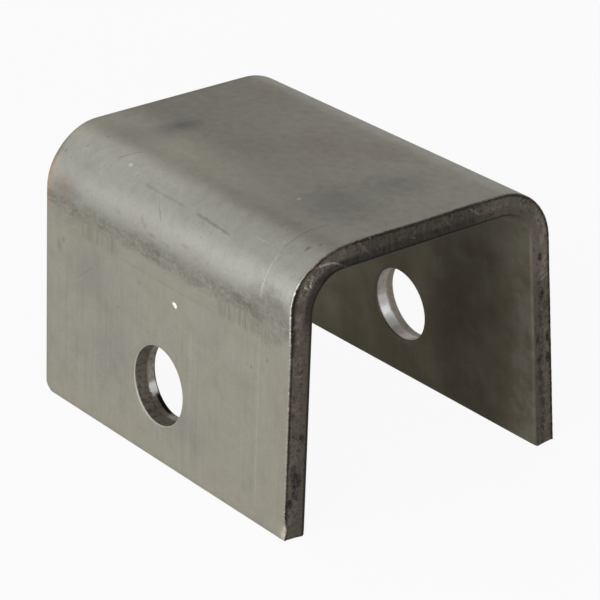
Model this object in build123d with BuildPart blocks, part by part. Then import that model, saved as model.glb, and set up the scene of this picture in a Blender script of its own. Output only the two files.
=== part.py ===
from build123d import *
import math
import os

# Spring hanger: one strip of plate, pierced flat and then folded into a channel. Its web is welded under a
# frame, and a bolt through both legs carries the eye of a leaf spring.
# Millimetres. X runs across the legs, Y along the folds and Z up. The origin is the middle of the weld
# face, which is the outer face of the web.

# Plate and folded section
plate = 4.76                    # thickness of the plate
inside_width = 50.8             # clear between the legs where they leave the bends
inside_bend_radius = 7.4
leg_splay = 3.2                 # degrees that each leg has sprung back outwards
height = 55.0                   # weld face to the inner corner of a leg's end, before its edge is softened
length = 79.4                   # cut end to cut end along the folds

# Pierced bolt holes
bolt = 14.3                     # shank of the spring bolt
bolt_clearance = 0.9            # on the diameter
hole_margin = 8.1               # plate left below the hole, down to the end of the leg
hole_offset = 0.8               # bolt line behind the middle of the length
burnished_depth = 2.4           # bright wall that the punch left, from the inner face of the leg
breakout_flare = 0.3            # growth of the hole's radius from there to the outer face
punch_rollover = 0.5            # soft rim where the punch went in

# Sheared outline of the strip
shear_rollover = 0.6            # soft edge all round the inner face, where the blade went in
rear_corner_radius = 2.5        # clipped corners of the legs at the rear end

# Metal that the bends squeezed out of the cut ends
swell_height = 0.35             # crest of the swelling above the cut end
swell_half_width = 2.0          # crest to foot, on either side
swell_root = 1.0                # depth that the swelling is buried in the plate

# Bends
outside_bend_radius = inside_bend_radius + plate
middle_bend_radius = inside_bend_radius + plate / 2
bend_centre_x = inside_width / 2 - inside_bend_radius
bend_centre_z = -outside_bend_radius
bend_angle = 90 - leg_splay
lean = math.radians(leg_splay)

# Ends of the strip
front = -length / 2
leg_run = (height + bend_centre_z + inside_bend_radius * math.sin(lean)) / math.cos(lean)
channel_middle = Vector(0, 0, -height / 2)

# Bolt line, and the faces of a leg where it crosses them
hole_radius = (bolt + bolt_clearance) / 2
bolt_y = hole_offset
bolt_z = hole_margin + hole_radius - height
bend_foot_x = bend_centre_x + inside_bend_radius * math.cos(lean)
bend_foot_z = bend_centre_z + inside_bend_radius * math.sin(lean)
leg_inner_x = bend_foot_x + (bend_foot_z - bolt_z) * math.tan(lean)
leg_outer_x = leg_inner_x + plate / math.cos(lean)

# Middle of the plate where a bend leaves the web, and where it meets the leg
swell_start = (bend_centre_x, front, bend_centre_z + middle_bend_radius)
swell_end = (
    bend_centre_x + middle_bend_radius * math.cos(lean),
    front,
    bend_centre_z + middle_bend_radius * math.sin(lean),
)
swell_arc_radius = (swell_half_width ** 2 + swell_height ** 2) / (2 * swell_height)


def looks_into_channel(face):
    """True for a face of the strip that looks towards the middle of the channel."""
    return face.normal_at().dot(channel_middle - face.center()) > 0


def outline(faces):
    """Edges round a patch of faces: those that only one of the faces has."""
    edges = [edge for face in faces for edge in face.edges()]
    return ShapeList(edge for edge in edges if sum(edge.is_same(other) for other in edges) == 1)


# Half of a swelling's section: its crest on the Y axis, its foot on the X axis and its root below
with BuildSketch() as half_swelling:
    with BuildLine():
        crest = RadiusArc((0, swell_height), (swell_half_width, 0), swell_arc_radius)
        Polyline(crest @ 1, (swell_half_width, -swell_root), (0, -swell_root), crest @ 0)
    make_face()

# Swelling of the right-hand bend at the front end: a low ridge that follows the middle of the plate round
# the bend and dies away in a round cap on the web and on the leg.
with BuildPart() as swelling:
    bend_axis = Axis((bend_centre_x, 0, bend_centre_z), (0, 1, 0))
    with BuildSketch(Plane(swell_start, x_dir=(0, 0, 1), z_dir=(1, 0, 0))) as ridge:
        add(half_swelling.sketch)
        mirror(about=Plane.YZ)
    revolve(axis=bend_axis, revolution_arc=bend_angle)
    with BuildSketch(Plane(swell_start, x_dir=(0, 0, 1), z_dir=(1, 0, 0))) as web_cap:
        add(half_swelling.sketch)
    revolve(axis=Axis(swell_start, (0, 1, 0)))
    leg_direction = (math.sin(lean), 0, -math.cos(lean))
    across_leg = (math.cos(lean), 0, math.sin(lean))
    with BuildSketch(Plane(swell_end, x_dir=across_leg, z_dir=leg_direction)) as leg_cap:
        add(half_swelling.sketch)
    revolve(axis=Axis(swell_end, (0, 1, 0)))

with BuildPart() as hanger:
    # Folded strip: half of its section, from the middle of the weld face round to the leg's end and back,
    # mirrored about the middle plane and run along the folds.
    with BuildSketch(Plane.XZ) as section:
        with BuildLine():
            bend_centre = (bend_centre_x, bend_centre_z)
            outer_bend = CenterArc(bend_centre, outside_bend_radius, 90, -bend_angle)
            inner_bend = CenterArc(bend_centre, inside_bend_radius, 90, -bend_angle)
            outer_leg = Line(outer_bend @ 1, outer_bend @ 1 + outer_bend % 1 * leg_run)
            inner_leg = Line(inner_bend @ 1, inner_bend @ 1 + inner_bend % 1 * leg_run)
            Line(outer_leg @ 1, inner_leg @ 1)
            Line((0, 0), outer_bend @ 0)
            Line((0, -plate), inner_bend @ 0)
            mirror(about=Plane.YZ)
        make_face()
    extrude(amount=length / 2, both=True)

    # Clipped corners at the rear end of both legs
    fillet(hanger.edges().group_by(Axis.Y)[-1].group_by(Axis.Z)[0], radius=rear_corner_radius)

    # Soft edge that the blade left all round the inner face
    fillet(outline(hanger.faces().filter_by(looks_into_channel)), radius=shear_rollover)

    # Bolt holes on one line through both legs: straight through the burnished part of the wall, and
    # flaring through the torn part to the outer face.
    with BuildSketch(Plane.XY.offset(bolt_z)) as punch:
        with BuildLine():
            flare_start_x = leg_inner_x + burnished_depth
            flare_rate = breakout_flare / (leg_outer_x - flare_start_x)
            beyond_x = leg_outer_x + plate
            beyond_radius = hole_radius + flare_rate * (beyond_x - flare_start_x)
            Polyline(
                (0, bolt_y),
                (0, bolt_y + hole_radius),
                (flare_start_x, bolt_y + hole_radius),
                (beyond_x, bolt_y + beyond_radius),
                (beyond_x, bolt_y),
                close=True,
            )
        make_face()
        mirror(about=Plane.YZ)
    revolve(axis=Axis((0, bolt_y, bolt_z), (1, 0, 0)), mode=Mode.SUBTRACT)

    # Soft rims where the punch went in
    burnished_walls = hanger.faces(Select.LAST).filter_by(GeomType.CYLINDER)
    punch_rims = [wall.edges().sort_by(lambda edge: abs(edge.center().X))[0] for wall in burnished_walls]
    fillet(punch_rims, radius=punch_rollover)

    # Swellings at both cut ends of both bends
    add(swelling.part)
    mirror(swelling.part, about=Plane.YZ)
    mirror(swelling.part, about=Plane.XZ)
    mirror(mirror(swelling.part, about=Plane.XZ, mode=Mode.PRIVATE), about=Plane.YZ)

hanger.part.label = "hanger"
os.makedirs("parts", exist_ok=True)
export_step(hanger.part, "parts/hanger.step")
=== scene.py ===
import logging
import math
from dataclasses import dataclass
from enum import Enum
from functools import reduce
from typing import Callable

import bmesh
import bpy
import numpy as np
from mathutils import Matrix, Vector


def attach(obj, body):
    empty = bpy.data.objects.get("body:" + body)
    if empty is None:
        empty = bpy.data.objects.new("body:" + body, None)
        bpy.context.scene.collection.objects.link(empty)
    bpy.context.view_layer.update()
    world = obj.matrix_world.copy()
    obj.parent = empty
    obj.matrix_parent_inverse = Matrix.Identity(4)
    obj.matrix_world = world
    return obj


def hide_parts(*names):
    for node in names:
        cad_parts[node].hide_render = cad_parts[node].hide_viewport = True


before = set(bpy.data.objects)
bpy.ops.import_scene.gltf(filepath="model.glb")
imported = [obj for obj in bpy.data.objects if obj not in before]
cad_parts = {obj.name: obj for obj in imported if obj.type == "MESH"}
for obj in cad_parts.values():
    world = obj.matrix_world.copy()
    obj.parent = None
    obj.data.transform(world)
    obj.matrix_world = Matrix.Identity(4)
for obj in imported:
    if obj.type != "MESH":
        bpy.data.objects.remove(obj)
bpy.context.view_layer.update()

LOG = logging.getLogger("spring_hanger")
MM = 0.001
TINY = 0.01 * MM

# A cut end or a hole's wall starts SKIN_DEPTH below the outer face and stops short of the inner one by
# ROLLED_SHARE of the rolled-over edge. A cut end reaches CUT_MARGIN in from the outline. Depth and margin
# are millimetres on the blank.
SKIN_DEPTH = 0.02
ROLLED_SHARE = 0.75
CUT_MARGIN = 0.16


def smooth_step(low: float, high: float, value: np.ndarray) -> np.ndarray:
    """Smooth rise from 0 at low to 1 at high.

    Args:
        low: Value where the rise starts; it may be above high for a fall.
        high: Value where the rise ends.
        value: Numbers to shape.

    Returns:
        An array of numbers from 0 to 1.
    """
    share = np.clip((value - low) / (high - low), 0.0, 1.0)
    return share * share * (3.0 - 2.0 * share)


@dataclass(frozen=True)
class Section:
    """Folded section of the plate, and the way from a place on it to its place on the flat blank."""

    plate: float = 4.76 * MM
    web_half: float = 18.0 * MM
    outer_radius: float = 12.16 * MM
    splay: float = math.radians(3.2)
    leg_run: float = 43.321 * MM
    length: float = 79.4 * MM

    @property
    def bend_angle(self) -> float:
        """Angle that each bend turns through."""
        return math.pi / 2 - self.splay

    @property
    def middle_radius(self) -> float:
        """Radius of a bend halfway through the plate."""
        return self.outer_radius - self.plate / 2

    @property
    def bend_run(self) -> float:
        """Length of a bend along the middle of the plate."""
        return self.middle_radius * self.bend_angle

    @property
    def foot(self) -> float:
        """Distance round the section from its middle to a leg's end."""
        return self.web_half + self.bend_run + self.leg_run

    @property
    def down_leg(self) -> Vector:
        """Direction down the right leg."""
        return Vector((math.sin(self.splay), 0, -math.cos(self.splay)))

    @property
    def off_leg(self) -> Vector:
        """Direction out of the right leg's outer face."""
        return Vector((math.cos(self.splay), 0, math.sin(self.splay)))

    def blank(self, points: np.ndarray) -> np.ndarray:
        """Unfolds points of the plate.

        Args:
            points: Rows of x, y, z.

        Returns:
            Rows of the distance round the section (left leg negative), y, and depth below the outer face.
        """
        side = np.where(points[:, 0] >= 0, 1.0, -1.0)
        across = np.abs(points[:, 0]) - self.web_half
        up = points[:, 2] + self.outer_radius
        turn = np.arctan2(across, up)
        run = across * math.sin(self.splay) - up * math.cos(self.splay)
        out = across * math.cos(self.splay) + up * math.sin(self.splay)
        on_web = (across <= 0) & (points[:, 2] > -self.outer_radius)
        on_bend = ~on_web & (turn >= 0) & (turn <= self.bend_angle)
        distance = np.where(
            on_web,
            across + self.web_half,
            np.where(on_bend, self.web_half + self.middle_radius * turn, self.web_half + self.bend_run + run),
        )
        depth = np.where(
            on_web, -points[:, 2], self.outer_radius - np.where(on_bend, np.hypot(across, up), out)
        )
        return np.column_stack((side * distance, points[:, 1], depth))


class Bench:
    """One mesh in edit mode, with selections made by place."""

    def __init__(self, work: bpy.types.Object) -> None:
        """Takes the object to work on."""
        self.work = work

    def __enter__(self) -> "Bench":
        """Goes into edit mode on this object alone, with nothing selected."""
        bpy.ops.object.select_all(action="DESELECT")
        self.work.select_set(True)
        bpy.context.view_layer.objects.active = self.work
        bpy.ops.object.mode_set(mode="EDIT")
        bpy.ops.mesh.select_all(action="DESELECT")
        return self

    def __exit__(self, *_: object) -> None:
        """Goes back to object mode."""
        bpy.ops.object.mode_set(mode="OBJECT")

    def vertices(self, test: Callable[[np.ndarray], np.ndarray]) -> None:
        """Selects the vertices whose places pass the test."""
        cage = self._cleared("VERT")
        self._select(cage, cage.verts, test(np.array([vertex.co for vertex in cage.verts])))

    def faces(self, test: Callable[[np.ndarray], np.ndarray]) -> None:
        """Selects the faces whose middles pass the test."""
        cage = self._cleared("FACE")
        middles = np.array([face.calc_center_median() for face in cage.faces])
        self._select(cage, cage.faces, test(middles))

    def edges(self, test: Callable[[np.ndarray, np.ndarray, np.ndarray], np.ndarray]) -> int:
        """Selects the edges that pass a test on their two ends and their turn, and returns how many did.

        Args:
            test: Takes the first ends, the last ends and the angles between the edges' faces, which are
                -1 where an edge has fewer than two.

        Returns:
            The number of edges selected.
        """
        cage = self._cleared("EDGE")
        first = np.array([edge.verts[0].co for edge in cage.edges])
        last = np.array([edge.verts[1].co for edge in cage.edges])
        turns = np.array([edge.calc_face_angle(-1.0) for edge in cage.edges])
        chosen = test(first, last, turns)
        self._select(cage, cage.edges, chosen)
        return int(chosen.sum())

    def _cleared(self, kind: str) -> bmesh.types.BMesh:
        """Sets the selection mode, selects nothing and returns the mesh."""
        bpy.ops.mesh.select_mode(type=kind)
        bpy.ops.mesh.select_all(action="DESELECT")
        return bmesh.from_edit_mesh(self.work.data)

    def _select(self, cage: bmesh.types.BMesh, items: bmesh.types.BMElemSeq, chosen: np.ndarray) -> None:
        """Selects the chosen ones of these vertices, edges or faces."""
        for item, picked in zip(items, chosen.tolist()):
            if picked:
                item.select_set(True)
        cage.select_flush_mode()
        bmesh.update_edit_mesh(self.work.data)


@dataclass
class FoldedPlate:
    """The hanger itself: a sheared and punched strip of plate folded into a channel."""

    section: Section
    web_columns: int = 15
    rows: int = 50
    bend_steps: int = 32
    leg_columns: int = 36
    bolt_y: float = 0.8 * MM
    bolt_z: float = -39.3 * MM
    hole_radius: float = 7.6 * MM
    hole_flare: float = 0.3 * MM
    burnished_depth: float = 2.4 * MM
    opening_half: float = 10.4 * MM
    rear_corner_radius: float = 2.5 * MM
    shear_rollover: float = 0.6 * MM
    punch_rollover: float = 0.5 * MM
    burr_width: float = 0.2 * MM
    round_segments: int = 4
    burr_segments: int = 2
    rim_reach: float = 9.0 * MM
    end_zone: float = 0.65 * MM
    wide_end_zone: float = 1.6 * MM
    long_edge: float = 3.0 * MM
    torn_depth: float = 2.7 * MM
    gouge_reach: float = 1.9 * MM
    nick_reach: float = 2.6 * MM
    gouge: tuple[float, float] = (-42.3, -4.1)
    foot_nick: tuple[float, float] = (-73.4, -39.0)
    name: str = "folded_plate"

    def build(self) -> bpy.types.Object:
        """Makes the whole piece.

        Returns:
            The finished object, with its blank coordinates in the attribute "blank".
        """
        work = self.half_skin()
        self.open_hole(work)
        self.clip_rear_corner(work)
        self.mirror_and_thicken(work)
        self.soften_edges(work)
        self.split_walls(work)
        self.note_blank(work)
        self.shape_holes(work)
        return work

    def half_skin(self) -> bpy.types.Object:
        """Makes the outer face of the right half: the web, spun round its bend and drawn down the leg."""
        part = self.section
        bpy.ops.object.select_all(action="DESELECT")
        bpy.ops.mesh.primitive_grid_add(
            x_subdivisions=self.web_columns,
            y_subdivisions=self.rows,
            size=1.0,
            location=(part.web_half / 2, 0, 0),
        )
        work = bpy.context.object
        work.name = self.name
        work.data.name = self.name
        work.scale = (part.web_half, part.length, 1)
        bpy.ops.object.transform_apply(location=True, scale=True)
        with Bench(work) as bench:
            bench.vertices(lambda points: points[:, 0] > part.web_half - TINY)
            bpy.ops.mesh.spin(
                steps=self.bend_steps,
                angle=-part.bend_angle,
                center=(part.web_half, 0, -part.outer_radius),
                axis=(0, 1, 0),
            )
            for _ in range(self.leg_columns):
                step = part.down_leg * (part.leg_run / self.leg_columns)
                bpy.ops.mesh.extrude_region_move(TRANSFORM_OT_translate={"value": step})
            bpy.ops.mesh.select_all(action="SELECT")
            bpy.ops.mesh.remove_doubles(threshold=TINY)
        self.face_outwards(work)
        return work

    def face_outwards(self, work: bpy.types.Object) -> None:
        """Turns the skin's faces all one way, and up on the web."""
        with Bench(work):
            bpy.ops.mesh.select_all(action="SELECT")
            bpy.ops.mesh.normals_make_consistent(inside=False)
            cage = bmesh.from_edit_mesh(work.data)
            if min(cage.faces, key=lambda face: face.calc_center_median().x).normal.z < 0:
                bpy.ops.mesh.flip_normals()

    @property
    def hole_middle(self) -> Vector:
        """Middle of the right hole on the outer face of its leg."""
        part = self.section
        start = Vector((part.web_half, self.bolt_y, -part.outer_radius)) + part.off_leg * part.outer_radius
        return start + part.down_leg * ((self.bolt_z - start.z) / part.down_leg.z)

    def open_hole(self, work: bpy.types.Object) -> None:
        """Cuts a square opening in the leg's skin and bridges it to the hole's round rim."""
        middle = np.array(self.hole_middle)

        def near(places: np.ndarray, reach: float) -> np.ndarray:
            """True for places on the leg within this reach of the hole's middle, both ways."""
            on_leg = places[:, 0] > self.section.web_half
            return on_leg & (np.abs(places - middle)[:, 1:] < reach).all(axis=1)

        with Bench(work) as bench:
            bench.faces(lambda middles: near(middles, self.opening_half))
            bpy.ops.mesh.delete(type="FACE")
            round_about = self.opening_half + 2 * MM
            rim = bench.edges(lambda first, _, turns: near(first, round_about) & (turns < 0))
            bpy.ops.mesh.primitive_circle_add(
                vertices=rim,
                radius=self.hole_radius + self.hole_flare,
                location=middle,
                rotation=(0, self.section.bend_angle, 0),
            )
            bench.edges(lambda first, _, turns: near(first, round_about) & (turns < 0))
            bpy.ops.mesh.bridge_edge_loops(number_cuts=3, interpolation="LINEAR")
        self.face_outwards(work)

    def clip_rear_corner(self, work: bpy.types.Object) -> None:
        """Rounds the leg's rear corner off with a fan of straight cuts."""
        part = self.section
        radius = self.rear_corner_radius
        start = Vector((part.web_half, 0, -part.outer_radius)) + part.off_leg * part.outer_radius
        middle = start + part.down_leg * (part.leg_run - radius)
        middle.y = part.length / 2 - radius
        for turn in np.linspace(0, math.pi / 2, 9)[1:-1]:
            out = part.down_leg * math.cos(turn) + Vector((0, math.sin(turn), 0))
            with Bench(work) as bench:
                bench.faces(lambda middles: np.linalg.norm(middles - middle, axis=1) < 3 * radius)
                bpy.ops.mesh.bisect(
                    plane_co=middle + out * radius, plane_no=out, use_fill=False, clear_outer=True
                )

    def mirror_and_thicken(self, work: bpy.types.Object) -> None:
        """Adds the left half, and gives the skin the plate's thickness, inwards."""
        bpy.context.view_layer.objects.active = work
        other = work.modifiers.new("other_half", "MIRROR")
        other.use_axis = (True, False, False)
        other.use_clip = True
        other.merge_threshold = TINY
        bpy.ops.object.modifier_apply(modifier=other.name)
        wall = work.modifiers.new("plate", "SOLIDIFY")
        wall.thickness = self.section.plate
        wall.offset = -1.0
        bpy.ops.object.modifier_apply(modifier=wall.name)

    def soften_edges(self, work: bpy.types.Object) -> None:
        """Bevels the outlines: rolled over where blade and punch went in, and burred on the far side."""
        part = self.section
        for deep, hole, width, segments in (
            (True, False, self.shear_rollover, self.round_segments),
            (True, True, self.punch_rollover, self.round_segments),
            (False, False, self.burr_width, self.burr_segments),
            (False, True, self.burr_width, self.burr_segments),
        ):
            level = part.plate if deep else 0.0

            def is_rim(first: np.ndarray, last: np.ndarray, turns: np.ndarray) -> np.ndarray:
                """True for the edges of this outline."""
                starts, ends = (np.abs(part.blank(places)[:, 2] - level) < TINY for places in (first, last))
                sharp = turns > math.radians(50)
                return starts & ends & sharp & (self.by_hole(first, self.rim_reach) == hole)

            with Bench(work) as bench:
                bench.edges(is_rim)
                bpy.ops.mesh.bevel(offset=width, offset_type="OFFSET", segments=segments, profile=0.5)

    def by_hole(self, places: np.ndarray, reach: float) -> np.ndarray:
        """True for places out on a leg within this reach of the bolt line."""
        off = np.hypot(places[:, 1] - self.bolt_y, places[:, 2] - self.bolt_z)
        return (off < reach) & (np.abs(places[:, 0]) > self.section.web_half)

    @property
    def wall_reach(self) -> float:
        """Distance from the bolt line within which all is a hole's wall or its soft rim."""
        return self.hole_radius + self.hole_flare + self.punch_rollover + 0.08 * MM

    def split_walls(self, work: bpy.types.Object) -> None:
        """Divides the cut ends, the holes' walls and the marked places finely enough for torn metal."""
        part = self.section
        zone = part.length / 2 - self.end_zone

        def through_plate(first: np.ndarray, last: np.ndarray, _: np.ndarray) -> np.ndarray:
            """True for the long edges through the plate."""
            return np.abs(part.blank(first)[:, 2] - part.blank(last)[:, 2]) > self.long_edge

        def end_or_wall(places: np.ndarray) -> np.ndarray:
            """True for places on the rear end, the legs' ends or the holes' walls."""
            foot = np.abs(part.blank(places)[:, 0]) > part.foot - self.end_zone
            return (places[:, 1] > zone) | foot | self.by_hole(places, self.wall_reach)

        def near_torn_end(places: np.ndarray) -> np.ndarray:
            """True for places on the torn metal of the front end, on the near leg and its bend."""
            rows = part.blank(places)
            near_leg = rows[:, 0] < MM - part.web_half
            return (places[:, 1] < -zone) & near_leg & (rows[:, 2] < self.torn_depth)

        with Bench(work) as bench:
            bench.edges(through_plate)
            bpy.ops.mesh.subdivide(number_cuts=5)
        for test, cuts in (
            (lambda places: places[:, 1] < -zone + self.wide_end_zone, 1),
            (lambda places: places[:, 1] < -zone, 1),
            (near_torn_end, 1),
            (end_or_wall, 1),
            (lambda places: self.close_to(places, self.gouge, self.gouge_reach), 7),
            (lambda places: self.close_to(places, self.foot_nick, self.nick_reach), 1),
        ):
            with Bench(work) as bench:
                bench.faces(test)
                bpy.ops.mesh.subdivide(number_cuts=cuts)

    def close_to(self, places: np.ndarray, spot: tuple[float, float], reach: float) -> np.ndarray:
        """True for places on the outer face within a square reach of a spot on the blank."""
        rows = self.section.blank(places)
        near = (np.abs(rows[:, :2] - np.array(spot) * MM) < reach).all(axis=1)
        return near & (rows[:, 2] < MM)

    def note_blank(self, work: bpy.types.Object) -> None:
        """Keeps each point's place on the flat blank as the attribute "blank", in millimetres."""
        points = np.zeros(len(work.data.vertices) * 3, np.float32)
        work.data.vertices.foreach_get("co", points)
        rows = self.section.blank(points.reshape(-1, 3)) / MM
        store = work.data.attributes.new("blank", "FLOAT_VECTOR", "POINT")
        store.data.foreach_set("vector", rows.astype(np.float32).ravel())

    def shape_holes(self, work: bpy.types.Object) -> None:
        """Straightens the punched part of each hole's wall along the bolt and leaves the rest flaring."""
        part = self.section
        torn = part.plate - self.burnished_depth
        rim = self.hole_radius + self.hole_flare
        points = np.array([vertex.co for vertex in work.data.vertices])
        wall = self.by_hole(points, self.wall_reach)
        levels = np.round(part.blank(points)[:, 2] / TINY)
        with Bench(work) as bench:
            for level in np.unique(levels[wall]):
                bench.vertices(lambda places: wall & (levels == level))
                depth = level * TINY
                growth = 1 - self.hole_flare * min(1.0, depth / torn) / rim
                bpy.ops.transform.resize(
                    value=(1, growth, growth),
                    center_override=(0, self.bolt_y, self.bolt_z - depth * math.sin(part.splay)),
                )
                bpy.ops.transform.translate(value=(0, 0, depth * math.sin(part.splay)))


def blank_rows(work: bpy.types.Object) -> np.ndarray:
    """Rows of each vertex's place on the flat blank, in millimetres."""
    rows = np.zeros(len(work.data.vertices) * 3, np.float32)
    work.data.attributes["blank"].data.foreach_get("vector", rows)
    return rows.reshape(-1, 3).astype(float)


class Wear:
    """Pushes metal about on a finished mesh, each push weighted by place on the blank."""

    def __init__(self, work: bpy.types.Object) -> None:
        """Reads the piece's blank coordinates."""
        self.work = work
        self.run, self.along, self.depth = blank_rows(work).T

    def push(
        self, weight: np.ndarray, way: str, distance: float, texture: bpy.types.Texture | None = None
    ) -> None:
        """Displaces the mesh by a weight.

        Args:
            weight: One number from 0 to 1 for each vertex.
            way: "X", "Y", "Z" or "NORMAL".
            distance: Push of a vertex of weight 1, in metres, where the texture is at its lightest.
            texture: Relief to follow instead of an even push.
        """
        work = self.work
        group = work.vertex_groups.new(name="push")
        for index in np.flatnonzero(weight > 0.002):
            group.add([int(index)], float(weight[index]), "REPLACE")
        bpy.context.view_layer.objects.active = work
        press = work.modifiers.new("push", "DISPLACE")
        press.vertex_group = group.name
        press.direction = way
        press.strength = distance
        press.mid_level = 0.0
        if texture is not None:
            press.texture = texture
            press.texture_coords = "LOCAL"
        bpy.ops.object.modifier_apply(modifier=press.name)
        work.vertex_groups.clear()


def clouds(name: str, size: float) -> bpy.types.Texture:
    """Cloudy relief for Wear.push, with lumps of this size in metres."""
    relief = bpy.data.textures.new(name, "CLOUDS")
    relief.noise_scale = size
    relief.noise_depth = 2
    relief.noise_basis = "ORIGINAL_PERLIN"
    return relief


@dataclass(frozen=True)
class CutEnds:
    """Shape of the sheared ends: swollen bends, the drawn-in edge, torn relief and pits. Millimetres.

    Each relief is the size of its lumps and their push. Each place drawn in is a run and an amount, and each
    pit a run, a depth, a size and a hollow.
    """

    half_length: float = 39.7
    bend_start: float = 18.0
    bend_end: float = 32.81
    front_swell: float = 0.14
    rear_swell: float = 0.34
    swell_half_width: float = 2.0
    middle: float = 2.38
    reach: float = 1.3
    flush: float = 0.05
    rear_edge: float = 0.35
    lumps: tuple[float, float] = (2.2, 0.22)
    grit: tuple[float, float] = (0.45, 0.12)
    ragged_edge: tuple[float, float] = (0.7, 0.2)
    drawn_in: tuple[tuple[float, float], ...] = (
        (-75, 0.05), (-65, 0.12), (-55, 0.08), (-45, 0.14), (-38, 0.08), (-34, 0.2), (-32, 0.36),
        (-31, 0.56), (-29, 0.68), (-27, 0.62), (-25, 0.42), (-23, 0.08), (-20, 0.0), (-18, 0.06),
        (-16, 0.26), (-12, 0.34), (-8, 0.28), (-4, 0.1), (4, 0.06), (8, 0.22), (12, 0.12), (17, 0.0),
        (24, 0.06), (30, 0.08), (75, 0.05),
    )  # fmt: skip
    pits: tuple[tuple[float, float, float, float], ...] = (
        (-68.9, 1.13, 0.42, 0.3), (-69.2, 0.3, 0.34, 0.25), (-70.6, 0.3, 0.34, 0.25),
        (-71.6, 0.3, 0.36, 0.25), (-66.9, 1.9, 0.5, 0.22), (-65.0, 2.7, 0.45, 0.25),
        (-63.4, 2.2, 0.4, 0.2), (-61.0, 4.0, 0.3, 0.2), (-56.3, 3.1, 0.32, 0.25),
        (-55.6, 1.6, 0.3, 0.2), (-58.8, 1.2, 0.26, 0.18), (-51.2, 1.0, 0.3, 0.2),
        (-46.7, 2.2, 0.28, 0.18), (-39.5, 0.8, 0.3, 0.22), (-37.2, 1.5, 0.3, 0.2),
        (36.3, 2.4, 0.3, 0.25), (29.9, 1.6, 0.3, 0.2), (27.4, 2.2, 0.26, 0.2),
        (43.8, 2.3, 0.4, 0.25), (45.6, 1.3, 0.3, 0.2), (53.3, 1.0, 0.34, 0.25),
        (53.4, 3.5, 0.3, 0.25), (58.0, 0.9, 0.34, 0.25), (57.9, 3.3, 0.34, 0.25),
        (60.9, 3.0, 0.3, 0.2), (62.0, 1.6, 0.26, 0.18), (64.5, 2.9, 0.34, 0.25),
        (67.2, 2.3, 0.3, 0.2), (70.4, 3.1, 0.3, 0.2), (39.2, 3.3, 0.26, 0.2),
        (48.6, 2.9, 0.3, 0.2), (50.2, 1.9, 0.26, 0.2),
    )  # fmt: skip

    def shape(self, wear: Wear) -> None:
        """Pushes both ends into shape, and tears the front one as it is seen."""
        depth, run = wear.depth, wear.run
        front = smooth_step(-self.half_length + self.reach, -self.half_length + self.flush, wear.along)
        rear = smooth_step(self.half_length - self.reach, self.half_length - self.flush, wear.along)
        beyond = np.maximum(0, np.maximum(self.bend_start - np.abs(run), np.abs(run) - self.bend_end))
        swell = 1 - (np.hypot(beyond, depth - self.middle) / self.swell_half_width) ** 2
        wear.push(np.clip(swell, 0, 1) * front, "Y", -self.front_swell * MM)
        wear.push(np.clip(swell, 0, 1) * rear, "Y", self.rear_swell * MM)
        places, amounts = zip(*self.drawn_in)
        amount = np.interp(run, places, amounts)
        edge = smooth_step(2.2, 0.0, depth)
        wear.push(amount * edge * front, "Y", MM)
        wear.push(self.rear_edge * np.exp(-(((np.abs(run) - 25.5) / 5) ** 2)) * edge * rear, "Y", -MM)
        torn = smooth_step(0.15, 0.6, depth) * smooth_step(3.9, 2.6, depth)
        for face, inwards in ((front, 1), (rear, -1)):
            for name, (size, push) in (("torn_lumps", self.lumps), ("torn_grit", self.grit)):
                wear.push(torn * face, "Y", inwards * push * MM, clouds(name, size * MM))
        ragged = smooth_step(0.45, 0.0, depth)
        size, push = self.ragged_edge
        wear.push(ragged * front, "Y", push * MM, clouds("ragged_edge", size * MM))
        dents = np.zeros(len(run))
        for place, level, size, hollow in self.pits:
            dent = np.exp(-(((run - place) ** 2 + (depth - level) ** 2) / (size * 0.55) ** 2))
            dents = np.maximum(dents, dent * hollow)
        wear.push(dents * front, "Y", MM)


@dataclass(frozen=True)
class BendTear:
    """Torn patch and squeezed-up ridge on the near bend's cut end. Millimetres on the blank."""

    ridge: tuple[tuple[float, float], ...] = (
        (-23.9, 0.9), (-22.6, 1.35), (-21.2, 2.0), (-19.8, 3.0), (-18.2, 4.2),
    )  # fmt: skip
    ridge_width: float = 0.33
    ridge_height: float = 0.2
    hollow_depth: float = 0.45
    torn_depth: float = 1.1
    torn_lumps: float = 0.75
    lip_height: float = 0.1

    def shape(self, wear: Wear) -> None:
        """Raises the ridge, hollows the metal inside it and tears the patch beside it."""
        front = smooth_step(-38.6, -39.6, wear.along)
        run, depth = wear.run, wear.depth
        nearest = np.full(len(run), 9.0)
        for (run_a, depth_a), (run_b, depth_b) in zip(self.ridge, self.ridge[1:]):
            step = np.array((run_b - run_a, depth_b - depth_a))
            share = ((run - run_a) * step[0] + (depth - depth_a) * step[1]) / (step @ step)
            share = np.clip(share, 0, 1)
            gap = np.hypot(run - run_a - share * step[0], depth - depth_a - share * step[1])
            nearest = np.minimum(nearest, gap)
        wear.push(np.exp(-((nearest / self.ridge_width) ** 2)) * front, "Y", -self.ridge_height * MM)
        hollow = np.exp(-(((run + 22.5) / 2.6) ** 2 + ((depth - 3.6) / 0.8) ** 2))
        wear.push(hollow * front, "Y", self.hollow_depth * MM)
        torn = np.exp(-(((run + 27.0) / 2.6) ** 2 + ((depth - 1.7) / 1.1) ** 2))
        wear.push(torn * front, "Y", self.torn_depth * MM, clouds("tear", self.torn_lumps * MM))
        lip = np.exp(-(((run + 27.6) / 2.4) ** 2)) * smooth_step(0.4, 0.05, depth)
        wear.push(lip * front, "NORMAL", self.lip_height * MM)


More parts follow.
